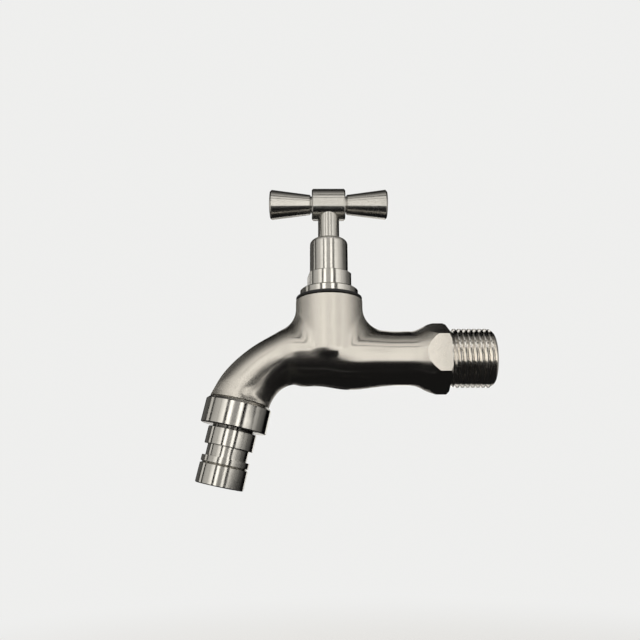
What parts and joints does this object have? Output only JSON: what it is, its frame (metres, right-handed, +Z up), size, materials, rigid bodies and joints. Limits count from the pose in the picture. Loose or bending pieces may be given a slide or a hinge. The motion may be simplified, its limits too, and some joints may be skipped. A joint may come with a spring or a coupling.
{
  "type": "wall-mounted faucet",
  "caption": "Wall-mounted screw-down tap: threaded inlet with hexagonal shoulder, cast body and curved spout, T handle, and a screwed nozzle with a hose end.",
  "frame": {"origin": "centre of the end face of the inlet's hexagonal shoulder, on the inlet axis, where the thread begins", "axes": "+X along the inlet towards the free end of its thread, +Z up along the valve stem to the T handle, the spout points to -X"},
  "size_m": [0.1032, 0.0242, 0.1112],
  "materials": {
    "cast_steel": "satin, brushed investment casting",
    "turned_steel": "fine turned, half bright",
    "black_rubber": "matte",
    "inner_brass": "machined",
    "pale_plastic": "matte"
  },
  "bodies": {
    "tap": {"tap_body": "cast_steel", "bonnet_gasket": "black_rubber", "bonnet": "turned_steel"},
    "valve": {"jumper": "inner_brass", "jumper_clip": "turned_steel", "seat_washer": "black_rubber", "washer_screw": "inner_brass"},
    "spindle_and_handle": {"spindle": "turned_steel", "thrust_washer": "pale_plastic", "o_ring_lower": "black_rubber", "o_ring_upper": "black_rubber", "handle_hub": "turned_steel", "cross_stud": "turned_steel", "grip_left": "turned_steel", "grip_right": "turned_steel"},
    "outlet_seal": {"outlet_washer": "black_rubber", "strainer_mesh": "turned_steel", "strainer_rim": "turned_steel"},
    "nozzle": {"outlet_nozzle": "turned_steel"}
  },
  "joints": [
    {"name": "valve_lift", "type": "slide", "parent": "tap", "child": "valve", "axis": [0, 0, 1], "range_m": [0, 0.004]},
    {"name": "handle_turn", "type": "hinge", "parent": "valve", "child": "spindle_and_handle", "pos_m": [-0.0416, 0, 0], "axis": [0, 0, 1], "range_deg": [0, 720]},
    {"name": "nozzle_drop", "type": "slide", "parent": "tap", "child": "outlet_seal", "axis": [-0.2079, 0, -0.9781], "range_m": [0, 0.006]},
    {"name": "nozzle_turn", "type": "hinge", "parent": "outlet_seal", "child": "nozzle", "pos_m": [-0.07299, 0, -0.01508], "axis": [-0.2079, 0, -0.9781], "range_deg": [0, 2160]}
  ],
  "couplings": [
    {"joint": "valve_lift", "follows": "handle_turn", "m_per_rad": 0.00031831},
    {"joint": "nozzle_drop", "follows": "nozzle_turn", "m_per_rad": 0.00015915}
  ]
}
